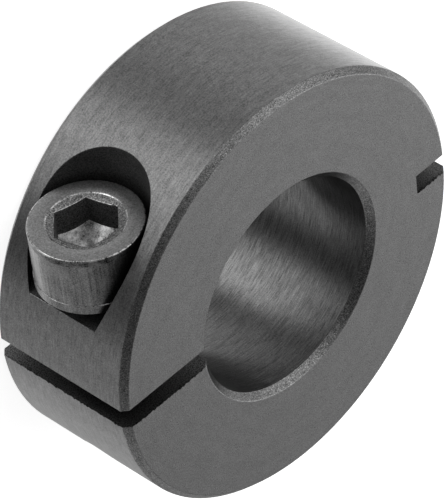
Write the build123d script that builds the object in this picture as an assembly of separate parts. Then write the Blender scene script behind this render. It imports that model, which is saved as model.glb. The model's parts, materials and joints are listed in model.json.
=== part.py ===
from build123d import *
import os
from math import radians, sqrt, tan

# Clamping ring: a one-piece steel shaft collar, slit on one side and
# drawn together by one socket head cap screw that lies across the slit.
# Frame: millimetres, origin on the bore axis in the plane of the back face,
# +Z along the bore to the front face, slit towards +X, screw head towards -Y.

# Ring sizes
bore_diameter = 20.0
outer_diameter = 40.0
ring_width = 15.0
rim_chamfer = 0.55
bore_chamfer = 0.6

# Saw cuts: the slit runs through to the bore, the relief stops short of it
slit_width = 1.9
relief_width = 1.9
relief_depth = 4.0

# Screw axis, inside the middle of the wall, and its pocket above the slit's middle
screw_inset = 0.35
seat_height = 7.1
pocket_diameter = 11.0
clearance_hole_diameter = 6.6

# Clamp screw, M6 x 16, backed off its seat by a little over one turn
thread_diameter = 6.0
thread_clearance = 0.05
screw_length = 16.0
screw_lift = 1.25
tip_chamfer = 0.6
head_diameter = 9.9
head_height = 6.0
head_top_round = 0.16
head_foot_chamfer = 0.25
neck_fillet = 0.25

# Socket in the head: a dished lead, six flats, a drill point floor
socket_flats = 5.15
socket_depth = 2.75
socket_turn = 44.5
dish_diameter = 6.8
dish_slope = 28.0
floor_slope = 30.0

# Worked-out places
outer_radius = outer_diameter / 2
bore_radius = bore_diameter / 2
thread_radius = thread_diameter / 2
head_radius = head_diameter / 2
shank_radius = thread_radius - thread_clearance
screw_offset = (bore_radius + outer_radius) / 2 - screw_inset
head_foot = seat_height + screw_lift
head_top = head_foot + head_height
shank_tip = head_foot - screw_length
socket_corner_radius = socket_flats / sqrt(3)
overrun = outer_radius

# The screw's own frame: its Z runs up the screw to the head, its X away from the bore
screw_frame = Plane(
    origin=(screw_offset, 0, ring_width / 2), x_dir=(1, 0, 0), z_dir=(0, -1, 0)
)


def turned(points):
    """Solid of revolution about Z from (radius, height) points, joined in order."""
    outline = Polyline(*[(radius, 0, height) for radius, height in points], close=True)
    return revolve(make_face(outline), axis=Axis.Z)


def ring_blank():
    """The turned ring with both faces' outer and bore edges chamfered."""
    outer_face = outer_radius - rim_chamfer
    bore_face = bore_radius + bore_chamfer
    return turned([
        (bore_face, 0),
        (outer_face, 0),
        (outer_radius, rim_chamfer),
        (outer_radius, ring_width - rim_chamfer),
        (outer_face, ring_width),
        (bore_face, ring_width),
        (bore_radius, ring_width - bore_chamfer),
        (bore_radius, bore_chamfer),
    ])


def slit_cut():
    """Saw cut from the bore axis out through the +X side."""
    cut = Box(
        outer_radius + overrun, slit_width, ring_width + 2 * overrun,
        align=(Align.MIN, Align.CENTER, Align.CENTER),
    )
    return Pos(0, 0, ring_width / 2) * cut


def relief_cut():
    """Shallow saw cut from outside on the -X side, which lets the ring hinge there."""
    cut = Box(
        relief_depth + overrun, relief_width, ring_width + 2 * overrun,
        align=(Align.MAX, Align.CENTER, Align.CENTER),
    )
    return Pos(relief_depth - outer_radius, 0, ring_width / 2) * cut


def drilled(diameter, start, end):
    """Cylinder along the screw axis between two heights above the slit's middle."""
    hole = Cylinder(diameter / 2, end - start, align=(Align.CENTER, Align.CENTER, Align.MIN))
    return screw_frame * Pos(0, 0, start) * hole


def screw_hole():
    """Pocket for the head, clearance hole to the slit, threaded hole beyond it."""
    pocket = drilled(pocket_diameter, seat_height, outer_radius + overrun)
    clearance_hole = drilled(clearance_hole_diameter, 0, seat_height + head_height)
    threaded_hole = drilled(thread_diameter, -outer_radius - overrun, 0)
    return pocket + clearance_hole + threaded_hole


def clamping_ring():
    """The ring as one solid, cut by the slit, the relief and the screw hole."""
    return ring_blank() - screw_hole() - slit_cut() - relief_cut()


def screw_blank():
    """Head and shank of the screw, turned about the screw's own Z."""
    return turned([
        (0, shank_tip),
        (shank_radius - tip_chamfer, shank_tip),
        (shank_radius, shank_tip + tip_chamfer),
        (shank_radius, head_foot - neck_fillet),
        (shank_radius + neck_fillet, head_foot),
        (head_radius - head_foot_chamfer, head_foot),
        (head_radius, head_foot + head_foot_chamfer),
        (head_radius, head_top - head_top_round),
        (head_radius - head_top_round, head_top),
        (0, head_top),
    ])


def socket_cut():
    """Six flats with a drill point floor, under a shallow dished lead."""
    floor_corner = head_top - socket_depth
    floor_centre = floor_corner - socket_corner_radius * tan(radians(floor_slope))
    bit = turned([
        (0, floor_centre),
        (socket_corner_radius, floor_corner),
        (socket_corner_radius, head_top + overrun),
        (0, head_top + overrun),
    ])
    hexagon = RegularPolygon(socket_corner_radius, 6, rotation=socket_turn)
    flats = Pos(0, 0, floor_centre) * extrude(hexagon, head_top + overrun - floor_centre)
    dish_depth = dish_diameter / 2 * tan(radians(dish_slope))
    dish = turned([
        (0, head_top - dish_depth),
        (dish_diameter / 2, head_top),
        (0, head_top),
    ])
    return (bit & flats) + dish


def clamp_screw():
    """The socket head cap screw as one solid, placed across the slit."""
    return screw_frame * (screw_blank() - socket_cut())


parts = {
    "clamping_ring": clamping_ring(),
    "clamp_screw": clamp_screw(),
}

os.makedirs("parts", exist_ok=True)
for name, piece in parts.items():
    export_step(piece, f"parts/{name}.step")
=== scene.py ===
import json
import math
import random

import bmesh
import bpy
from bpy.props import FloatProperty, FloatVectorProperty, PointerProperty
from mathutils import Euler, Matrix, Quaternion, Vector


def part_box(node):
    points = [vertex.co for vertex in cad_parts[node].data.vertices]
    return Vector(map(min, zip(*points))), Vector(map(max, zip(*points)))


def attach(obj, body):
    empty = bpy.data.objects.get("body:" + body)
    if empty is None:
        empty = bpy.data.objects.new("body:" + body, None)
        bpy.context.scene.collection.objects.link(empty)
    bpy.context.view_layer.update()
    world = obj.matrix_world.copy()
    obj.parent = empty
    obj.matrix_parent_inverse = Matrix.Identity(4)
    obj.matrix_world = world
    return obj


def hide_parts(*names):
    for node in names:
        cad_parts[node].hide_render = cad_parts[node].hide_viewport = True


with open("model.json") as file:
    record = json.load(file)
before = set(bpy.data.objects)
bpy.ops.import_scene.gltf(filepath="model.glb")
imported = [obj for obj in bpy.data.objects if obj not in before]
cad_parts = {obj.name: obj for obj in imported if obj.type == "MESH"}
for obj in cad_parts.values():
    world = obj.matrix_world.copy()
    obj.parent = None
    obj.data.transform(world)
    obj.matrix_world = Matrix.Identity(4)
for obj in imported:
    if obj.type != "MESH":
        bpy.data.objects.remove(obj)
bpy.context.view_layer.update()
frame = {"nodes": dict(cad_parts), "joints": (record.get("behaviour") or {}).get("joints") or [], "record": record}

bl_info = {
    "name": "Clamping ring finish",
    "version": (1, 0, 0),
    "blender": (4, 5, 0),
    "location": "3D View > Sidebar > Clamping ring",
    "description": "Edge breaks, threads and blackened steel finishes for a one-piece clamping ring",
    "category": "Object",
}

MM = 0.001
# Distances below this count as none
TINY = 2e-6

# Places taken from the frame, all in metres
RING_LOW, RING_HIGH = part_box("clamping_ring")
SCREW_LOW, SCREW_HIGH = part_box("clamp_screw")
RING_SOLID = frame["nodes"]["clamping_ring"].data
OUTER_RADIUS = max(math.hypot(*vertex.co.xy) for vertex in RING_SOLID.vertices)
RING_WIDTH = RING_HIGH.z
BORE = next(mount for mount in frame["record"]["mounts"] if mount["name"] == "bore")
BORE_RADIUS = BORE["dims"]["r_mm"] * MM
SCREW_AXIS = Vector(frame["joints"][0]["pos_m"])
HEAD_RADIUS = max(SCREW_HIGH.x - SCREW_LOW.x, SCREW_HIGH.z - SCREW_LOW.z) / 2
HEAD_TOP = -SCREW_LOW.y
SCREW_TIP = -SCREW_HIGH.y

# The screw's own frame: local Z runs up to the head, which points towards -Y
SCREW_TURN = Euler((math.radians(90), 0, 0))
SCREW_PLACE = Matrix.Translation(SCREW_AXIS) @ SCREW_TURN.to_matrix().to_4x4()

# Kinds of socket that the node groups use
NUMBER, VECTOR, COLOUR = "NodeSocketFloat", "NodeSocketVector", "NodeSocketColor"
GEOMETRY, MATERIAL = "NodeSocketGeometry", "NodeSocketMaterial"

# Edges of the ring: faces that meet flatter than the first angle become one, and edges sharper
# than the second are broken
FLAT_ANGLE = 0.002
EDGE_ANGLE = math.radians(20)
# A face lies in a zone when the cosine between their normals is above this
FACING_LIMIT = 0.7
# Torn edges stop this far short of the chamfers and corners at their ends
TEAR_CLEAR = 0.25 * MM

# Both threads: starts (minus winds them right-handed), shares of the pitch that crest and root take,
# rows and columns in one turn
THREAD_STARTS = -1.0
CREST_SHARE = 0.125
ROOT_SHARE = 0.2
THREAD_ROWS = 16
THREAD_COLUMNS = 96
# The ring's thread fades in over a twelfth of its length and out over a twenty-fourth
MOUTH_FADE = 12
END_FADE = 24

# The screw's shank: thread-free and fading lengths under the head, fillet, and overlap into the head
THREAD_STOP = 0.2 * MM
FADE_STOP = 0.35 * MM
FADE_RUN = 0.9 * MM
NECK_FILLET = 0.25 * MM
SHANK_OVERLAP = 0.3 * MM
TIP_ROW_SHARE = 0.6

# The screw's head: rows as shares of the way over a surface, and the worn edges of its socket
HEAD_COLUMNS = 240
FLOOR_ROWS = (0.08, 0.2, 0.4, 0.6, 0.8, 0.93, 1.0)
WALL_ROWS = (0.1, 0.5, 0.9, 1.0)
DISH_ROWS = (0.5, 1.0)
SIDE_ROWS = 8
TOP_ROUND_STEPS = (22.5, 45, 67.5, 90)
FILLET_STEPS = (30, 60, 90)
SOCKET_LIP = 0.05 * MM
LIP_ROUND = 0.015 * MM
WORN_INSIDE = 0.09 * MM
WORN_OUTSIDE = 0.03 * MM
CREASE_ANGLE = math.radians(40)


def length(label, about, default, high=1.0):
    """A length property in metres."""
    return FloatProperty(
        name=label, description=about, default=default, min=0.0, max=high, unit="LENGTH", precision=5
    )


def share(label, about, default):
    """A plain factor property."""
    return FloatProperty(name=label, description=about, default=default, min=0.0, max=1.0, precision=3)


def angle(label, about, default):
    """An angle property, whose default is given in degrees."""
    return FloatProperty(
        name=label, description=about, default=math.radians(default), subtype="ANGLE", precision=4
    )


def colour(label, about, default):
    """A colour property."""
    return FloatVectorProperty(
        name=label, description=about, default=default, size=3, min=0.0, max=1.0, subtype="COLOR"
    )


class RingFinish(bpy.types.PropertyGroup):
    """Sizes and colours of the ring's surfaces."""

    rim_chamfer: length("Rim chamfer", "Chamfer round both faces' outer edges", 0.55 * MM)
    bore_chamfer: length("Bore chamfer", "Chamfer at both ends of the bore", 0.6 * MM)
    slit_width: length("Slit width", "Width of the saw cut that opens the ring", 1.9 * MM)
    relief_width: length("Relief width", "Width of the blind saw cut opposite the slit", 1.9 * MM)
    relief_depth: length("Relief depth", "Depth of the blind saw cut", 4.0 * MM)
    seat_height: length("Seat height", "Screw seat above the middle of the slit", 7.1 * MM)
    pocket_radius: length("Pocket radius", "Radius of the pocket for the screw head", 5.5 * MM)
    clearance_radius: length("Clearance radius", "Radius of the hole from seat to slit", 3.3 * MM)
    tapped_radius: length("Tapped hole radius", "Major radius of the thread in the ring", 3.0 * MM)
    thread_pitch: length("Thread pitch", "Advance of the ring's thread in one turn", 1.0 * MM)
    thread_depth: length("Thread depth", "Depth of the ring's thread", 0.5 * MM)
    thread_inset: length("Thread inset", "How far the thread's roots lie inside the hole", 0.03 * MM)
    tip_gap: length("Tip gap", "Distance from the screw's tip to the first thread shown", 0.2 * MM)
    edge_break: length("Edge break", "Width of the small break on every edge", 0.06 * MM)
    tear_reach: length("Tear reach", "How far the saw tore the exit edges of its cuts", 0.2 * MM)
    tear_depth: length("Tear depth", "Depth of the torn strip along the cuts' walls", 0.3 * MM)
    tear_pitch: length("Tear pitch", "Mean distance between two corners of a torn edge", 0.14 * MM)
    steel: colour("Blackened steel", "Colour of the oxide on the turned faces", (0.17, 0.17, 0.17))
    # Darker steel for the pocket, saw cuts and tapped hole: painted shade of these recesses
    hollow_painted_shade: colour("Hollow steel", "Colour of the oxide in pocket and saw cuts", (0.115, 0.115, 0.115))


class ScrewFinish(bpy.types.PropertyGroup):
    """Sizes and colours of the clamp screw."""

    head_height: length("Head height", "Height of the cylindrical head", 6.0 * MM)
    top_round: length("Top round", "Radius round the head's top edge", 0.12 * MM)
    foot_chamfer: length("Foot chamfer", "Chamfer under the head's outer edge", 0.25 * MM)
    ledge_height: length("Ledge height", "Height of the die's ledge above the head's foot", 1.05 * MM)
    ledge_depth: length("Ledge depth", "How far the side above the ledge lies inside it", 0.05 * MM)
    darkened_height: length("Dark band height", "Height of the scuffed band under the head's top edge", 0.5 * MM)
    socket_flats: length("Socket flats", "Hexagon size across its flats", 5.15 * MM)
    socket_depth: length("Socket depth", "Depth of the flats at their corners", 2.62 * MM)
    socket_turn: angle("Socket turn", "Turn of the hexagon about the screw's axis", 45.2)
    floor_slope: angle("Floor slope", "Slope of the drill point floor", 30.0)
    dish_radius: length("Dish radius", "Radius of the dished lead into the socket", 3.4 * MM)
    dish_slope: angle("Dish slope", "Slope of the dished lead", 15.0)
    dish_step: length("Dish step", "Height of the worn step round the dished lead", 0.03 * MM)
    crest_radius: length("Thread crest", "Radius of the thread's crests", 2.95 * MM)
    pitch: length("Thread pitch", "Advance of the thread in one turn", 1.0 * MM)
    thread_depth: length("Thread depth", "Depth from crest to root", 0.58 * MM)
    tip_chamfer: length("Tip chamfer", "Chamfer at the screw's tip", 0.6 * MM)
    steel: colour("Screw steel", "Colour of the oxide on the screw", (0.16, 0.16, 0.16))


class StudioSetup(bpy.types.PropertyGroup):
    """Camera and floor."""

    azimuth: angle("Azimuth", "Camera direction round the ring", 35.611)
    elevation: angle("Elevation", "Camera height above the horizon", 33.165)
    roll: angle("Roll", "Turn of the camera about its own axis", 119.853)
    distance: length("Distance", "Camera distance from the aim point", 349.64 * MM)
    lens: FloatProperty(
        name="Lens", description="Focal length in millimetres", default=296.98, min=20, max=600
    )
    floor_size: length("Floor size", "Side of the square floor", 2.0, high=10.0)
    floor_glow: share("Floor glow", "Share of the floor's white that no shadow takes away", 0.85)


# Place that the camera looks at
AIM_POINT = Vector((0.23, -0.061, 7.219)) * MM


def put(tree, kind, links=None, **settings):
    """Adds a node. links gives each input a value, or another node's output to link to."""
    node = tree.nodes.new(kind)
    for name, value in settings.items():
        setattr(node, name, value)
    for key, value in (links or {}).items():
        if isinstance(value, bpy.types.NodeSocket):
            tree.links.new(value, node.inputs[key])
        else:
            node.inputs[key].default_value = value
    return node


def calc(tree, operation, *values):
    """Output of a math node on up to three values or outputs."""
    return put(tree, "ShaderNodeMath", dict(enumerate(values)), operation=operation).outputs[0]


def new_group(kind, name, inputs, outputs):
    """An empty node group with its sockets, and its two end nodes."""
    tree = bpy.data.node_groups.new(name, kind)
    for label, socket_type, default in inputs:
        socket = tree.interface.new_socket(label, in_out="INPUT", socket_type=socket_type)
        if default is not None:
            socket.default_value = default
    for label, socket_type in outputs:
        tree.interface.new_socket(label, in_out="OUTPUT", socket_type=socket_type)
    return tree, tree.nodes.new("NodeGroupInput"), tree.nodes.new("NodeGroupOutput")


def groove_cutter():
    """Geometry Nodes tree that sinks grooves into a skin round local Z.

    Starts counts the grooves met on one turn, Turns Per Metre winds them along Z.
    """
    tree, given, result = new_group(
        "GeometryNodeTree",
        "groove_cutter",
        [
            ("Geometry", GEOMETRY, None),
            ("Starts", NUMBER, 1.0),
            ("Turns Per Metre", NUMBER, 0.0),
            ("Depth", NUMBER, 0.0001),
            ("Crest Share", NUMBER, CREST_SHARE),
            ("Root Share", NUMBER, ROOT_SHARE),
            ("Material", MATERIAL, None),
        ],
        [("Geometry", GEOMETRY)],
    )
    place = put(tree, "GeometryNodeInputPosition").outputs[0]
    parts = put(tree, "ShaderNodeSeparateXYZ", {0: place})
    x, y, z = parts.outputs
    turn = calc(tree, "DIVIDE", calc(tree, "ARCTAN2", y, x), math.tau)
    wound = calc(tree, "MULTIPLY_ADD", z, given.outputs["Turns Per Metre"],
                 calc(tree, "MULTIPLY", turn, given.outputs["Starts"]))
    wave = calc(tree, "ABSOLUTE", calc(tree, "MULTIPLY_ADD", calc(tree, "FRACT", wound), 2.0, -1.0))
    slope = put(tree, "ShaderNodeMapRange", {
        0: wave,
        1: given.outputs["Crest Share"],
        2: calc(tree, "SUBTRACT", 1.0, given.outputs["Root Share"]),
    })
    depth_share = put(tree, "GeometryNodeInputNamedAttribute", {"Name": "groove"}, data_type="FLOAT")
    sunk = calc(tree, "MULTIPLY", calc(tree, "MULTIPLY", slope.outputs[0], depth_share.outputs[0]),
                given.outputs["Depth"])
    squares = calc(tree, "ADD", calc(tree, "MULTIPLY", x, x), calc(tree, "MULTIPLY", y, y))
    radius = calc(tree, "SQRT", squares)
    kept = calc(tree, "SUBTRACT", 1.0, calc(tree, "DIVIDE", sunk, calc(tree, "MAXIMUM", radius, TINY)))
    moved = put(tree, "ShaderNodeCombineXYZ", {
        0: calc(tree, "MULTIPLY", x, kept),
        1: calc(tree, "MULTIPLY", y, kept),
        2: z,
    })
    cut = put(tree, "GeometryNodeSetPosition", {
        "Geometry": given.outputs["Geometry"],
        "Position": moved.outputs[0],
    })
    real = put(tree, "GeometryNodeRealizeInstances", {0: cut.outputs[0]})
    painted = put(tree, "GeometryNodeSetMaterial", {
        "Geometry": real.outputs[0],
        "Selection": put(tree, "FunctionNodeCompare", {
            0: depth_share.outputs[0],
            1: 0.5,
        }, data_type="FLOAT", operation="GREATER_THAN").outputs[0],
        "Material": given.outputs["Material"],
    })
    tree.links.new(painted.outputs[0], result.inputs[0])
    return tree


def cut_grooves(piece, tree, values):
    """Runs the groove cutter on a piece and returns its result as a plain mesh."""
    modifier = piece.modifiers.new("grooves", "NODES")
    modifier.node_group = tree
    for item in tree.interface.items_tree:
        if item.item_type == "SOCKET" and item.in_out == "INPUT" and item.name in values:
            modifier[item.identifier] = values[item.name]
    piece.update_tag()
    bpy.context.view_layer.update()
    solved = piece.evaluated_get(bpy.context.evaluated_depsgraph_get())
    mesh = bpy.data.meshes.new_from_object(solved)
    piece.modifiers.remove(modifier)
    return mesh


def skin(rows, columns, turn=0.0, closed_loop=False):
    """Mesh through rows of points round local Z.

    A row is (radius, height, groove, material); radius and height may be functions of the angle.
    A radius of zero makes a closed pole.
    """
    build = bmesh.new()
    groove = build.verts.layers.float.new("groove")
    angles = [turn + math.tau * step / columns for step in range(columns)]
    rings = []
    for radius, height, depth, _ in rows:
        if radius == 0:
            pole = build.verts.new((0, 0, height))
            rings.append([pole] * columns)
            continue
        ring = []
        for at in angles:
            r = radius(at) if callable(radius) else radius
            z = height(at) if callable(height) else height
            vertex = build.verts.new((r * math.cos(at), r * math.sin(at), z))
            vertex[groove] = depth
            ring.append(vertex)
        rings.append(ring)
    pairs = list(zip(rings, rings[1:], rows[1:]))
    if closed_loop:
        pairs.append((rings[-1], rings[0], rows[0]))
    for lower, upper, (_, _, _, finish) in pairs:
        for step in range(columns):
            after = (step + 1) % columns
            corners = [lower[step], lower[after], upper[after], upper[step]]
            face = build.faces.new(list(dict.fromkeys(corners)))
            face.material_index = finish
            face.smooth = True
    bmesh.ops.recalc_face_normals(build, faces=build.faces)
    mesh = bpy.data.meshes.new("skin")
    build.to_mesh(mesh)
    build.free()
    return mesh


def spread(start, end, count):
    """Evenly spaced values from start to end, both included."""
    return [start + (end - start) * step / count for step in range(count + 1)]


def ring_zones(look):
    """(finish, distance from the surface, outward normal) of each surface that one cut left."""
    r, b, w = OUTER_RADIUS, BORE_RADIUS, RING_WIDTH
    rim, lead = look.rim_chamfer, look.bore_chamfer
    diagonal = math.sqrt(0.5)

    def radial(p):
        return Vector((p.x, p.y, 0)).normalized()

    def to_screw(p):
        return Vector((SCREW_AXIS.x - p.x, 0, SCREW_AXIS.z - p.z)).normalized()

    def off_bore(p):
        return math.hypot(p.x, p.y)

    def off_screw(p):
        return math.hypot(p.x - SCREW_AXIS.x, p.z - SCREW_AXIS.z)

    def facing(x, y, z):
        return lambda p: Vector((x, y, z))

    up = Vector((0, 0, 1))
    return [
        ("faced", lambda p: p.z - w, facing(0, 0, 1)),
        ("faced", lambda p: p.z, facing(0, 0, -1)),
        ("turned", lambda p: off_bore(p) - r, radial),
        ("bored", lambda p: off_bore(p) - b, lambda p: -radial(p)),
        ("chamfered", lambda p: off_bore(p) + p.z - (r + w - rim), lambda p: (radial(p) + up) * diagonal),
        ("chamfered", lambda p: off_bore(p) - p.z - (r - rim), lambda p: (radial(p) - up) * diagonal),
        ("lead", lambda p: off_bore(p) - p.z - (b + lead - w), lambda p: (up - radial(p)) * diagonal),
        ("lead", lambda p: off_bore(p) + p.z - (b + lead), lambda p: (-up - radial(p)) * diagonal),
        ("milled", lambda p: off_screw(p) - look.pocket_radius, to_screw),
        ("milled", lambda p: off_screw(p) - look.clearance_radius, to_screw),
        ("milled", lambda p: off_screw(p) - look.tapped_radius, to_screw),
        ("milled", lambda p: p.y + look.seat_height, facing(0, -1, 0)),
        ("sawn", lambda p: p.y - look.slit_width / 2, facing(0, -1, 0)),
        ("sawn", lambda p: p.y + look.slit_width / 2, facing(0, 1, 0)),
        ("sawn", lambda p: p.y - look.relief_width / 2, facing(0, -1, 0)),
        ("sawn", lambda p: p.y + look.relief_width / 2, facing(0, 1, 0)),
        ("sawn", lambda p: p.x - (look.relief_depth - r), facing(-1, 0, 0)),
    ]


# Places whose local Z the marks of a finish wind round: the screw, and the saw beside the ring
ON_SCREW = (SCREW_AXIS, SCREW_TURN)
ON_SAW = (Vector((2.2 * OUTER_RADIUS, 0, RING_WIDTH / 2)), SCREW_TURN)
PLACES = {"milled": ON_SCREW, "sawn": ON_SAW}
ZONE_NAMES = ["faced", "turned", "bored", "chamfered", "lead", "milled", "sawn", "edge"]
# Zone of the faces that break an edge; the real zones count up from zero
NO_ZONE = -1


def zone_of(face, zones):
    """Index of the zone that a face of the ring lies in."""
    for index, (_, off, normal) in enumerate(zones):
        on_it = all(abs(off(vertex.co)) < TINY for vertex in face.verts)
        if on_it and face.normal.dot(normal(face.calc_center_median())) > FACING_LIMIT:
            return index
    raise RuntimeError(f"no zone holds the ring's face at {tuple(face.calc_center_median())}")


def tear(build, look, inward, first, last, on_edge, seat, steadiness):
    """Tears one edge of a saw cut and returns its moved vertices.

    inward points from the edge into the cut's wall, first and last are the tear's two ends,
    on_edge tells the edge's vertices, seat puts a moved vertex back on the outer surface, and a
    higher steadiness makes deep tears rarer.
    """
    side = first.y
    chance = random.Random(round((first.x + side) / TINY))
    run = last - first
    run_way = run.normalized()

    def split(faces, place, normal):
        parts = list(dict.fromkeys(part for face in faces for part in (face, *face.edges, *face.verts)))
        bmesh.ops.bisect_plane(build, geom=parts, dist=TINY / 4, plane_co=place, plane_no=normal)

    def wall(reach):
        middle = (first + last) / 2
        return [
            face for face in build.faces
            if all(abs(vertex.co.y - side) < TINY for vertex in face.verts)
            and (face.calc_center_median() - middle).length < RING_WIDTH
            and (face.calc_center_median() - first).dot(inward) < reach
        ]

    split(wall(math.inf), first + inward * look.tear_depth, inward)
    along = 0.0
    while along < run.length:
        split(wall(look.tear_depth), first + run_way * along, run_way)
        along += look.tear_pitch * chance.uniform(0.5, 1.5)
    torn = [
        vertex for vertex in build.verts
        if abs(vertex.co.y - side) < TINY and on_edge(vertex.co)
        and -TINY < (vertex.co - first).dot(run_way) < run.length
    ]
    for vertex in torn:
        vertex.co.y += look.tear_reach * chance.uniform(0.0, 1.0) ** steadiness
        if seat is not None:
            seat(vertex)
    return torn


def tear_cuts(build, look):
    """Tears the edges where the saw came out: on the front face, and at the slit's outer end."""
    slit, relief, top = look.slit_width / 2, look.relief_width / 2, RING_WIDTH
    inner = BORE_RADIUS + look.bore_chamfer + TEAR_CLEAR
    outer = OUTER_RADIUS - look.rim_chamfer - TEAR_CLEAR
    end = OUTER_RADIUS - look.relief_depth + TEAR_CLEAR
    low, high = look.rim_chamfer + TEAR_CLEAR, top - look.rim_chamfer - TEAR_CLEAR
    down, back = Vector((0, 0, -1)), Vector((-1, 0, 0))

    def on_face(p):
        return abs(p.z - top) < TINY

    def on_outside(p):
        return abs(math.hypot(p.x, p.y) - OUTER_RADIUS) < TINY

    def back_outside(vertex):
        vertex.co.x = math.sqrt(OUTER_RADIUS ** 2 - vertex.co.y ** 2)

    # Way into the wall, both ends, test for the torn edge, way back to the surface, steadiness
    torn = set()
    for inward, first, last, on_edge, seat, steadiness in (
        (down, (inner, slit, top), (outer, slit, top), on_face, None, 1.2),
        (down, (-outer, relief, top), (-end, relief, top), on_face, None, 1.3),
        (back, (OUTER_RADIUS, slit, low), (OUTER_RADIUS, slit, high), on_outside, back_outside, 4.0),
    ):
        torn.update(tear(build, look, inward, Vector(first), Vector(last), on_edge, seat, steadiness))
    return torn


def ring_mesh(look):
    """The ring with a small break on every edge, each face in its zone's finish."""
    build = bmesh.new()
    build.from_mesh(RING_SOLID)
    bmesh.ops.remove_doubles(build, verts=build.verts, dist=TINY)
    bmesh.ops.dissolve_limit(build, angle_limit=FLAT_ANGLE, verts=build.verts, edges=build.edges)
    build.normal_update()
    zones = ring_zones(look)
    zone_layer = build.faces.layers.int.new("zone")
    for face in build.faces:
        face[zone_layer] = zone_of(face, zones)
    sharp_layer = build.edges.layers.int.new("sharp")
    for edge in build.edges:
        edge[sharp_layer] = edge.calc_face_angle() > EDGE_ANGLE
    torn = tear_cuts(build, look)
    sharp = [edge for edge in build.edges if edge[sharp_layer] and torn.isdisjoint(edge.verts)]
    broken = bmesh.ops.bevel(
        build, geom=sharp, offset=look.edge_break, offset_type="OFFSET", segments=2, profile=0.5,
        affect="EDGES", clamp_overlap=False, loop_slide=False, material=-1,
    )
    new_faces = set(broken["faces"])
    for face in build.faces:
        face.smooth = True
        if face in new_faces:
            face[zone_layer] = NO_ZONE
        finish = "edge" if face[zone_layer] == NO_ZONE else zones[face[zone_layer]][0]
        face.material_index = ZONE_NAMES.index(finish)
    build.normal_update()
    normals = []
    for face in build.faces:
        for vertex in face.verts:
            homes = [other[zone_layer] for other in vertex.link_faces if other[zone_layer] != NO_ZONE]
            own = face[zone_layer]
            if own == NO_ZONE and homes:
                own = homes[0]
            normals.append(vertex.normal.copy() if own == NO_ZONE else zones[own][2](vertex.co))
    mesh = bpy.data.meshes.new("ring_skin")
    build.to_mesh(mesh)
    build.free()
    mesh.normals_split_custom_set([tuple(normal) for normal in normals])
    return mesh


# Broad bands are the fine marks again, stretched by these factors
BROAD_STRETCH = (0.7, 0.7, 0.21)
# Grain noise between which specks of bare steel fade in
SPECK_START, SPECK_FULL = 0.58, 0.75
# Turns noise, which stays near a half, into a swing of about one to either side of zero
SWING_GAIN = 4.0
# Brightness that the darkest grain keeps, and the grain's share in the height of the surface
DARKEST = 0.05
GRAIN_HEIGHT = 0.5


def cut_marks_group():
    """Marks that a cutting edge leaves round local Z, on a wall or, as Radial Share rises, on a face."""
    tree, given, result = new_group(
        "ShaderNodeTree",
        "cut_marks",
        [
            ("Vector", VECTOR, None),
            ("Radial Share", NUMBER, 0.0),
            ("Pitch", NUMBER, 0.15 * MM),
            ("Run", NUMBER, 2.0 * MM),
        ],
        [("Fine", NUMBER), ("Broad", NUMBER)],
    )
    x, y, z = put(tree, "ShaderNodeSeparateXYZ", {0: given.outputs["Vector"]}).outputs
    radius = calc(tree, "SQRT", calc(tree, "MULTIPLY_ADD", x, x, calc(tree, "MULTIPLY", y, y)))
    across = put(tree, "ShaderNodeMix", {
        "Factor": given.outputs["Radial Share"], "A": z, "B": radius,
    }, data_type="FLOAT").outputs[0]
    stretched = put(tree, "ShaderNodeCombineXYZ", {
        0: calc(tree, "DIVIDE", x, given.outputs["Run"]),
        1: calc(tree, "DIVIDE", y, given.outputs["Run"]),
        2: calc(tree, "DIVIDE", across, given.outputs["Pitch"]),
    }).outputs[0]
    fine = put(tree, "ShaderNodeTexNoise", {
        "Vector": stretched, "Scale": 1.0, "Detail": 2.0, "Roughness": 0.65,
    })
    slow = put(tree, "ShaderNodeVectorMath", {0: stretched, 1: BROAD_STRETCH}, operation="MULTIPLY")
    broad = put(tree, "ShaderNodeTexNoise", {"Vector": slow.outputs[0], "Scale": 1.0, "Detail": 1.0})
    tree.links.new(fine.outputs[0], result.inputs["Fine"])
    tree.links.new(broad.outputs[0], result.inputs["Broad"])
    return tree


def oxide_mottle_group():
    """Fine grain and larger patches of the blackening."""
    tree, given, result = new_group(
        "ShaderNodeTree",
        "oxide_mottle",
        [
            ("Vector", VECTOR, None),
            ("Grain Size", NUMBER, 0.12 * MM),
            ("Patch Size", NUMBER, 3.0 * MM),
        ],
        [("Grain", NUMBER), ("Patch", NUMBER), ("Speck", NUMBER)],
    )
    for label, detail in (("Grain", 2.0), ("Patch", 3.0)):
        size = given.outputs[f"{label} Size"]
        scaled = put(tree, "ShaderNodeVectorMath", {
            0: given.outputs["Vector"], "Scale": calc(tree, "DIVIDE", 1.0, size),
        }, operation="SCALE")
        noise = put(tree, "ShaderNodeTexNoise", {
            "Vector": scaled.outputs[0], "Scale": 1.0, "Detail": detail,
        })
        tree.links.new(noise.outputs[0], result.inputs[label])
        if label == "Grain":
            speck = put(tree, "ShaderNodeMapRange", {0: noise.outputs[0], 1: SPECK_START, 2: SPECK_FULL})
            tree.links.new(speck.outputs[0], result.inputs["Speck"])
    return tree


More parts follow.
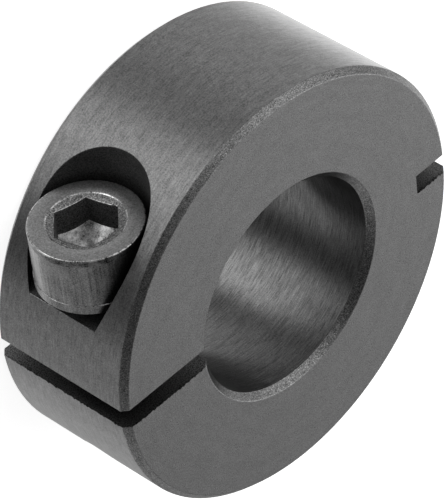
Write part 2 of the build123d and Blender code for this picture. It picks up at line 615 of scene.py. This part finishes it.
def blackened_steel_group():
    """Colour, roughness and height of machined steel under its oxide."""
    tree, given, result = new_group(
        "ShaderNodeTree",
        "blackened_steel",
        [
            ("Vector", VECTOR, None),
            ("Steel", COLOUR, (0.17, 0.17, 0.17, 1)),
            ("Roughness", NUMBER, 0.38),
            ("Roughness Spread", NUMBER, 0.1),
            ("Radial Share", NUMBER, 0.0),
            ("Pitch", NUMBER, 0.15 * MM),
            ("Run", NUMBER, 2.0 * MM),
            ("Mark Tint", NUMBER, 0.1),
            ("Band Tint", NUMBER, 0.05),
            ("Grain Size", NUMBER, 0.12 * MM),
            ("Grain Tint", NUMBER, 0.1),
            ("Patch Size", NUMBER, 3.0 * MM),
            ("Patch Tint", NUMBER, 0.05),
            ("Speck Tint", NUMBER, 0.0),
        ],
        [("Color", COLOUR), ("Roughness", NUMBER), ("Height", NUMBER)],
    )
    marks = put(tree, "ShaderNodeGroup", node_tree=cut_marks_group())
    mottle = put(tree, "ShaderNodeGroup", node_tree=oxide_mottle_group())
    for node, labels in (
        (marks, ("Vector", "Radial Share", "Pitch", "Run")),
        (mottle, ("Vector", "Grain Size", "Patch Size")),
    ):
        for label in labels:
            tree.links.new(given.outputs[label], node.inputs[label])
    bright = 1.0
    for node, label, tint in (
        (marks, "Fine", "Mark Tint"),
        (marks, "Broad", "Band Tint"),
        (mottle, "Grain", "Grain Tint"),
        (mottle, "Patch", "Patch Tint"),
    ):
        swing = calc(tree, "MULTIPLY_ADD", node.outputs[label], SWING_GAIN, -SWING_GAIN / 2)
        bright = calc(tree, "MULTIPLY_ADD", swing, given.outputs[tint], bright)
    bright = calc(tree, "MULTIPLY_ADD", mottle.outputs["Speck"], given.outputs["Speck Tint"], bright)
    bright = calc(tree, "MAXIMUM", bright, DARKEST)
    toned = put(tree, "ShaderNodeVectorMath", {
        0: given.outputs["Steel"], "Scale": bright,
    }, operation="SCALE")
    swing = calc(tree, "SUBTRACT", mottle.outputs["Grain"], marks.outputs["Fine"])
    rough = calc(tree, "MULTIPLY_ADD", swing, given.outputs["Roughness Spread"], given.outputs["Roughness"])
    height = calc(tree, "MULTIPLY_ADD", mottle.outputs["Grain"], GRAIN_HEIGHT, marks.outputs["Fine"])
    tree.links.new(toned.outputs[0], result.inputs["Color"])
    tree.links.new(rough, result.inputs["Roughness"])
    tree.links.new(height, result.inputs["Height"])
    return tree


# Finishes. Tone multiplies the steel's colour and Lay stretches its gloss along local Z;
# the others are the values in which a finish differs from the group's own.
RING_FINISHES = {
    "faced": {
        "Tone": 1.06, "Roughness": 0.3, "Radial Share": 1.0, "Mark Tint": 0.01, "Grain Tint": 0.45,
        "Patch Size": 0.4 * MM, "Patch Tint": 0.1,
    },
    "turned": {
        "Lay": 0.6, "Tone": 1.07, "Pitch": 0.17 * MM, "Run": 1.5 * MM, "Mark Tint": 0.22, "Grain Tint": 0.4,
        "Patch Size": 0.6 * MM, "Patch Tint": 0.1,
    },
    "bored": {
        "Lay": 0.85, "Tone": 0.97, "Roughness": 0.3, "Pitch": 0.09 * MM, "Run": 1.3 * MM, "Mark Tint": 0.5,
        "Grain Tint": 0.3,
    },
    "chamfered": {
        "Tone": 0.8, "Run": 0.6 * MM, "Mark Tint": 0.3, "Grain Size": 0.1 * MM, "Grain Tint": 0.8,
        "Speck Tint": 0.9,
    },
    "lead": {
        "Tone": 0.77, "Roughness": 0.3, "Run": 0.5 * MM, "Mark Tint": 0.3, "Grain Size": 0.1 * MM,
        "Grain Tint": 0.9, "Speck Tint": 1.2,
    },
    "milled": {"Roughness": 0.6, "Mark Tint": 0.12, "Grain Tint": 0.7},
    "sawn": {
        "Tone": 0.95, "Roughness": 0.43, "Radial Share": 1.0, "Pitch": 0.25 * MM, "Run": 8 * MM,
        "Mark Tint": 0.12, "Grain Tint": 1.0,
    },
    "edge": {"Tone": 1.02, "Run": 0.8 * MM, "Mark Tint": 0.25, "Grain Tint": 0.6, "Speck Tint": 0.6},
}
SCREW_FINISHES = {
    "top": {"Tone": 1.6, "Radial Share": 1.0, "Run": 1.5 * MM, "Grain Tint": 0.4, "Roughness": 0.42},
    "dish": {"Tone": 1.3, "Radial Share": 1.0, "Grain Tint": 1.0, "Speck Tint": 1.1, "Roughness": 0.55},
    "floor": {
        "Tone": 1.2, "Patch Size": 1.0 * MM, "Patch Tint": 1.1, "Mark Tint": 0.25, "Grain Tint": 0.6,
        "Roughness": 0.32,
    },
    "wall": {"Tone": 1.22, "Roughness": 0.6, "Mark Tint": 0.1, "Grain Tint": 0.9},
    # Rounded edges, socket lip, dish step and ledge are far lighter than the steel: a painted highlight along them
    "rounded_highlight": {
        "Tone": 2.45, "Patch Size": 0.5 * MM, "Patch Tint": 0.9, "Grain Tint": 0.8, "Roughness": 0.3,
    },
    "side": {
        "Tone": 1.12, "Pitch": 5 * MM, "Run": 0.17 * MM, "Mark Tint": 0.3, "Band Tint": 0.15,
        "Grain Tint": 0.55, "Patch Size": 1.5 * MM, "Patch Tint": 0.2, "Roughness": 0.33,
    },
    "thread": {"Mark Tint": 0.1},
    # A darker band under the head's top edge
    "darkened": {
        "Tone": 0.85, "Patch Size": 0.9 * MM, "Patch Tint": 0.9, "Grain Tint": 0.7, "Roughness": 0.35,
    },
}
# Material slots of the screw, in the order of its finishes, and the one slot of the ring's thread
TOP, DISH, FLOOR, WALL, ROUNDED_HIGHLIGHT, SIDE, THREAD, DARKENED = range(len(SCREW_FINISHES))
TAPPED = 0
# Groove share of a row that no thread cuts
UNCUT = 0
BUMP_HEIGHT = 0.003 * MM


def steel(name, oxide, values, place=None):
    """Material of blackened steel whose marks wind round the local Z of the given place."""
    made = bpy.data.materials.new(name)
    made.use_nodes = True
    tree = made.node_tree
    tree.nodes.clear()
    where = put(tree, "ShaderNodeTexCoord").outputs["Object"]
    if place is not None:
        centre, turn = place
        where = put(tree, "ShaderNodeMapping", {
            "Vector": where, "Location": centre, "Rotation": turn,
        }, vector_type="TEXTURE").outputs[0]
    group = bpy.data.node_groups.get("blackened_steel") or blackened_steel_group()
    finish = put(tree, "ShaderNodeGroup", node_tree=group)
    tree.links.new(where, finish.inputs["Vector"])
    finish.inputs["Steel"].default_value = (*(part * values.get("Tone", 1.0) for part in oxide), 1)
    for label, value in values.items():
        if label not in ("Tone", "Lay"):
            finish.inputs[label].default_value = value
    bump = put(tree, "ShaderNodeBump", {
        "Strength": 1.0, "Distance": BUMP_HEIGHT, "Height": finish.outputs["Height"],
    })
    shader = put(tree, "ShaderNodeBsdfPrincipled", {
        "Base Color": finish.outputs["Color"],
        "Roughness": finish.outputs["Roughness"],
        "Metallic": 1.0,
        "Normal": bump.outputs[0],
    })
    if "Lay" in values:
        shader.inputs["Anisotropic"].default_value = values["Lay"]
        along = put(tree, "ShaderNodeCombineXYZ", {2: 1.0})
        tree.links.new(along.outputs[0], shader.inputs["Tangent"])
    put(tree, "ShaderNodeOutputMaterial", {0: shader.outputs[0]})
    return made


class RING_OT_finish_ring(bpy.types.Operator):
    """Breaks the ring's edges and gives each machined surface its finish"""

    bl_idname = "clamping_ring.finish_ring"
    bl_label = "Finish ring"

    def execute(self, context):
        look = context.scene.ring_finish
        mesh = ring_mesh(look)
        for zone in ZONE_NAMES:
            # Pocket and saw cuts take the darker hollow colour, painted shade of the recesses
            tone = look.hollow_painted_shade if zone in PLACES else look.steel
            mesh.materials.append(steel(f"ring_{zone}", tone, RING_FINISHES[zone], PLACES.get(zone)))
        ring = bpy.data.objects.new("ring_body", mesh)
        context.scene.collection.objects.link(ring)
        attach(ring, "ring")
        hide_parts("clamping_ring")
        return {"FINISHED"}


def head_rows(look):
    """Rows of the head's skin, from the socket's floor out over the top and down to its foot."""
    corner = look.socket_flats / math.sqrt(3)
    top, foot = HEAD_TOP, HEAD_TOP - look.head_height
    sixth = math.radians(60)
    lip = SOCKET_LIP

    def flat(at):
        off_corner = (at - look.socket_turn) % sixth - sixth / 2
        return look.socket_flats / 2 / math.cos(off_corner)

    def floor(r):
        return top - look.socket_depth - (corner - r) * math.tan(look.floor_slope)

    def dish(r):
        return top - look.dish_step - (look.dish_radius - r) * math.tan(look.dish_slope)

    # Floor, walls and worn lip of the socket, which follow the hexagon; the lip's rows carry the painted highlight
    # of the rounded edges
    rows = [(0, floor(0), UNCUT, FLOOR)]
    for part in FLOOR_ROWS:
        rows.append((
            lambda at, k=part: k * flat(at),
            lambda at, k=part: floor(k * flat(at)),
            UNCUT, FLOOR,
        ))
    for part in WALL_ROWS:
        rows.append((
            flat,
            lambda at, k=part: floor(flat(at)) * (1 - k) + (dish(flat(at)) - lip) * k,
            UNCUT, WALL,
        ))
    rows.append((lambda at: flat(at) + LIP_ROUND, lambda at: dish(flat(at)) - LIP_ROUND, UNCUT, ROUNDED_HIGHLIGHT))
    rows.append((lambda at: flat(at) + lip, lambda at: dish(flat(at) + lip), UNCUT, ROUNDED_HIGHLIGHT))

    # Dish, from the hexagon out to its round worn step, whose rows carry the painted highlight of the rounded
    # edges
    worn, brink = look.dish_radius - WORN_INSIDE, look.dish_radius + WORN_OUTSIDE
    for part in DISH_ROWS:
        rows.append((
            lambda at, k=part: (flat(at) + lip) * (1 - k) + worn * k,
            lambda at, k=part: dish((flat(at) + lip) * (1 - k) + worn * k),
            UNCUT, DISH,
        ))
    rows.append(((worn + brink) / 2, (dish(worn) + top) / 2, UNCUT, ROUNDED_HIGHLIGHT))
    rows.append((brink, top, UNCUT, ROUNDED_HIGHLIGHT))

    # Flat top and the round at its edge, which carries the painted highlight of the rounded edges
    side = HEAD_RADIUS - look.ledge_depth
    crown = side - look.top_round
    rows.append(((look.dish_radius + crown) / 2, top, UNCUT, TOP))
    rows.append((crown, top, UNCUT, TOP))
    for part in TOP_ROUND_STEPS:
        bend = math.radians(part)
        rows.append((
            crown + look.top_round * math.sin(bend),
            top - look.top_round * (1 - math.cos(bend)),
            UNCUT, ROUNDED_HIGHLIGHT,
        ))

    # Side with its darker band under the top edge, its ledge and foot, which carry the painted highlight of the
    # rounded edges, and the underside that closes the skin
    ledge = foot + look.ledge_height
    # Lower edge of the darker band under the head's top edge
    darkened = top - look.top_round - look.darkened_height
    rows.append((side, darkened, UNCUT, DARKENED))
    for height in spread(darkened, ledge + look.ledge_depth, SIDE_ROWS)[1:]:
        rows.append((side, height, UNCUT, SIDE))
    rows.append((HEAD_RADIUS, ledge, UNCUT, ROUNDED_HIGHLIGHT))
    rows.append((HEAD_RADIUS, foot + look.foot_chamfer, UNCUT, SIDE))
    rows.append((HEAD_RADIUS - look.foot_chamfer, foot, UNCUT, ROUNDED_HIGHLIGHT))
    rows.append(((look.crest_radius + HEAD_RADIUS) / 2, foot, UNCUT, TOP))
    rows.append((0, foot, UNCUT, TOP))
    return rows


def tapped_rows(look):
    """Rows of the threaded sleeve that lines the ring's tapped hole, from its mouth to the screw's tip."""
    inner, outer = look.tapped_radius - look.thread_inset, look.tapped_radius + look.thread_inset
    start = SCREW_TIP - look.tip_gap

    def mouth(radius):
        def height(at):
            off_bore = SCREW_AXIS.x + radius * math.cos(at)
            return -math.sqrt(OUTER_RADIUS ** 2 - off_bore ** 2) + look.edge_break
        return height

    lowest = mouth(inner)(math.pi)
    steps = round((start - lowest) / (look.thread_pitch / THREAD_ROWS))
    rows = [(outer, mouth(outer), UNCUT, TAPPED)]
    for step in range(steps + 1):
        along = step / steps
        rows.append((
            inner,
            lambda at, k=along: mouth(inner)(at) * (1 - k) + start * k,
            min(1.0, MOUTH_FADE * along, END_FADE * (1 - along)),
            TAPPED,
        ))
    rows.append((outer, start, UNCUT, TAPPED))
    return rows


def shank_rows(look):
    """Rows of the threaded shank, from the tip up into the head."""
    foot = HEAD_TOP - look.head_height
    root = look.crest_radius - look.thread_depth
    tip = look.crest_radius - look.tip_chamfer
    step = look.pitch / THREAD_ROWS
    rows = [
        (0, SCREW_TIP, UNCUT, TOP),
        (root * TIP_ROW_SHARE, SCREW_TIP, UNCUT, TOP),
        (tip, SCREW_TIP, UNCUT, TOP),
    ]
    height = SCREW_TIP + step
    while height < foot - THREAD_STOP:
        radius = min(look.crest_radius, tip + (height - SCREW_TIP))
        up_share = min(1.0, max(0.0, (radius - root) / look.thread_depth))
        neck_share = min(1.0, max(0.0, (foot - FADE_STOP - height) / FADE_RUN))
        rows.append((radius, height, min(up_share, neck_share), THREAD))
        height += step
    rows.append((look.crest_radius, foot - NECK_FILLET, UNCUT, THREAD))
    for part in FILLET_STEPS:
        bend = math.radians(part)
        rows.append((
            look.crest_radius + NECK_FILLET * (1 - math.cos(bend)),
            foot - NECK_FILLET * (1 - math.sin(bend)),
            UNCUT, TOP,
        ))
    rows.append((look.crest_radius, foot + SHANK_OVERLAP, UNCUT, TOP))
    rows.append((0, foot + SHANK_OVERLAP, UNCUT, TOP))
    return rows


def cut_thread(mesh, finish, pitch, depth):
    """Runs the groove cutter as a thread on a mesh round local Z."""
    blank = bpy.data.objects.new("blank", mesh)
    bpy.context.scene.collection.objects.link(blank)
    threaded = cut_grooves(blank, bpy.data.node_groups.get("groove_cutter") or groove_cutter(), {
        "Starts": THREAD_STARTS,
        "Turns Per Metre": 1 / pitch,
        "Depth": depth,
        "Crest Share": CREST_SHARE,
        "Root Share": ROOT_SHARE,
        "Material": finish,
    })
    bpy.data.objects.remove(blank)
    return threaded


def add_screw_piece(name, meshes, finishes, body):
    """Joins meshes made in the screw's own frame into one piece that rides on a body."""
    build = bmesh.new()
    for mesh in meshes:
        build.from_mesh(mesh)
    build.transform(SCREW_PLACE)
    joined = bpy.data.meshes.new(f"{name}_skin")
    build.to_mesh(joined)
    build.free()
    for finish in finishes:
        joined.materials.append(finish)
    joined.set_sharp_from_angle(angle=CREASE_ANGLE)
    piece = bpy.data.objects.new(name, joined)
    bpy.context.scene.collection.objects.link(piece)
    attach(piece, body)
    return piece


class RING_OT_tap_ring(bpy.types.Operator):
    """Cuts the thread in the ring's far ear, past the screw's tip"""

    bl_idname = "clamping_ring.tap_ring"
    bl_label = "Tap ring"

    def execute(self, context):
        look = context.scene.ring_finish
        # The tapped hole takes the darker hollow colour, painted shade inside the hole
        finish = steel("ring_tapped", look.hollow_painted_shade, SCREW_FINISHES["thread"], ON_SCREW)
        mesh = skin(tapped_rows(look), THREAD_COLUMNS, closed_loop=True)
        mesh.materials.append(finish)
        threaded = cut_thread(mesh, finish, look.thread_pitch, look.thread_depth)
        piece = add_screw_piece("tapped_thread", [threaded], [finish], "ring")
        return {"FINISHED"}


class RING_OT_make_screw(bpy.types.Operator):
    """Makes the clamp screw with its formed head, dished socket and thread"""

    bl_idname = "clamping_ring.make_screw"
    bl_label = "Make screw"

    def execute(self, context):
        look = context.scene.screw_finish
        finishes = [
            steel(f"screw_{name}", look.steel, values, ON_SCREW) for name, values in SCREW_FINISHES.items()
        ]
        head = skin(head_rows(look), HEAD_COLUMNS, look.socket_turn)
        shank = skin(shank_rows(look), THREAD_COLUMNS)
        for mesh in (head, shank):
            for finish in finishes:
                mesh.materials.append(finish)
        shank = cut_thread(shank, finishes[THREAD], look.pitch, look.thread_depth)
        screw = add_screw_piece("screw_body", [head, shank], finishes, "screw")
        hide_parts("clamp_screw")
        return {"FINISHED"}


class RING_OT_set_stage(bpy.types.Operator):
    """Sets the camera, the floor and the white room that lights the ring"""

    bl_idname = "clamping_ring.set_stage"
    bl_label = "Set stage"

    def execute(self, context):
        setup = context.scene.studio_setup
        add_camera(context, setup)
        add_floor(context, setup)
        add_world(context)
        context.scene.view_settings.view_transform = "Standard"
        return {"FINISHED"}


# The floor lies this far below the ring's back face, so that the two don't touch
FLOOR_GAP = 0.02 * MM
FLOOR_PAINT = (0.8, 0.8, 0.8, 1)


def add_camera(context, setup):
    """Camera at the photograph's viewing angle."""
    data = bpy.data.cameras.new("camera")
    data.lens = setup.lens
    data.clip_start = 0.01
    data.clip_end = 5.0
    camera = bpy.data.objects.new("camera", data)
    context.scene.collection.objects.link(camera)
    back = direction(setup.azimuth, setup.elevation)
    camera.location = AIM_POINT + back * setup.distance
    camera.rotation_mode = "QUATERNION"
    camera.rotation_quaternion = (-back).to_track_quat("-Z", "Y") @ Quaternion((0, 0, 1), setup.roll)
    context.scene.camera = camera


def add_floor(context, setup):
    """Plain white floor that only the camera sees, and only from above."""
    build = bmesh.new()
    bmesh.ops.create_grid(build, x_segments=1, y_segments=1, size=setup.floor_size / 2)
    mesh = bpy.data.meshes.new("floor")
    build.to_mesh(mesh)
    build.free()
    floor = bpy.data.objects.new("floor", mesh)
    context.scene.collection.objects.link(floor)
    floor.location.z = RING_LOW.z - FLOOR_GAP
    made = bpy.data.materials.new("floor_white")
    made.use_nodes = True
    tree = made.node_tree
    tree.nodes.clear()
    glow = put(tree, "ShaderNodeEmission", {"Strength": setup.floor_glow})
    paint = put(tree, "ShaderNodeBsdfDiffuse", {"Color": FLOOR_PAINT})
    lit = put(tree, "ShaderNodeAddShader", {0: glow.outputs[0], 1: paint.outputs[0]})
    clear = put(tree, "ShaderNodeBsdfTransparent")
    side = put(tree, "ShaderNodeNewGeometry").outputs["Backfacing"]
    seen = put(tree, "ShaderNodeMixShader", {0: side, 1: lit.outputs[0], 2: clear.outputs[0]})
    put(tree, "ShaderNodeOutputMaterial", {0: seen.outputs[0]})
    mesh.materials.append(made)
    for ray in ("diffuse", "glossy", "transmission", "volume_scatter", "shadow"):
        setattr(floor, f"visible_{ray}", False)


def direction(azimuth, elevation):
    """Unit vector towards a place round the ring; azimuth 0 is towards -Y, 90 towards +X."""
    level = math.cos(elevation)
    return Vector((math.sin(azimuth) * level, -math.cos(azimuth) * level, math.sin(elevation)))


# Soft panels of the white room, as the steel sees them: azimuth, elevation, strength and width of each
PANELS = {
    "overhead": (-113, 39, 2.2, 0.075),
    "front": (-43, 34, 1.65, 0.22),
    "left low": (-118, -30, 2.05, 0.08),
    "left": (-108, -3, 1.05, 0.02),
    "left glint": (-60, -56, 1.3, 0.1),
    "key": (16, -23, 3.2, 0.03),
    "key side": (42, -33, 1.85, 0.04),
    "slit side": (114, -35, 0.72, 0.03),
    "back": (160, -1, 0.9, 0.2),
    "back low": (173, -55, 1.2, 0.08),
}
# Strength of the walls between the panels, as the steel mirrors them
WALL_LEVEL = 0.1


def add_world(context):
    """White room: plain white to the camera, and soft panels between dim walls to the steel."""
    world = bpy.data.worlds.new("studio")
    world.use_nodes = True
    tree = world.node_tree
    tree.nodes.clear()
    towards = put(tree, "ShaderNodeTexCoord").outputs["Generated"]
    level = 0.0
    for azimuth, elevation, strength, width in PANELS.values():
        centre = direction(math.radians(azimuth), math.radians(elevation))
        near = put(tree, "ShaderNodeVectorMath", {0: towards, 1: centre}, operation="DOT_PRODUCT")
        off_centre = calc(tree, "SUBTRACT", near.outputs["Value"], 1.0)
        fall = calc(tree, "EXPONENT", calc(tree, "DIVIDE", off_centre, width))
        level = calc(tree, "MULTIPLY_ADD", fall, strength, level)
    rays = put(tree, "ShaderNodeLightPath").outputs
    mirrored = calc(tree, "MAXIMUM", rays["Is Glossy Ray"], rays["Is Transmission Ray"])
    walls = calc(tree, "MAXIMUM", rays["Is Camera Ray"], calc(tree, "MULTIPLY", mirrored, WALL_LEVEL))
    panels = calc(tree, "MULTIPLY", level, calc(tree, "SUBTRACT", 1.0, rays["Is Camera Ray"]))
    white = put(tree, "ShaderNodeBackground", {
        "Color": (1, 1, 1, 1), "Strength": calc(tree, "ADD", walls, panels),
    })
    put(tree, "ShaderNodeOutputWorld", {0: white.outputs[0]})
    context.scene.world = world


class RING_PT_panel(bpy.types.Panel):
    """Operators of the clamping ring"""

    bl_idname = "RING_PT_panel"
    bl_label = "Clamping ring"
    bl_space_type = "VIEW_3D"
    bl_region_type = "UI"
    bl_category = "Clamping ring"

    def draw(self, context):
        for operator in OPERATORS:
            self.layout.operator(operator.bl_idname)


OPERATORS = (RING_OT_finish_ring, RING_OT_tap_ring, RING_OT_make_screw, RING_OT_set_stage)
SETTINGS = {"ring_finish": RingFinish, "screw_finish": ScrewFinish, "studio_setup": StudioSetup}


def register():
    for made in (*SETTINGS.values(), *OPERATORS, RING_PT_panel):
        bpy.utils.register_class(made)
    for name, made in SETTINGS.items():
        setattr(bpy.types.Scene, name, PointerProperty(type=made))


def unregister():
    for name in SETTINGS:
        delattr(bpy.types.Scene, name)
    for made in reversed((*SETTINGS.values(), *OPERATORS, RING_PT_panel)):
        bpy.utils.unregister_class(made)


def main():
    register()
    bpy.ops.clamping_ring.finish_ring()
    bpy.ops.clamping_ring.tap_ring()
    bpy.ops.clamping_ring.make_screw()
    bpy.ops.clamping_ring.set_stage()


if __name__ == "__main__":
    main()
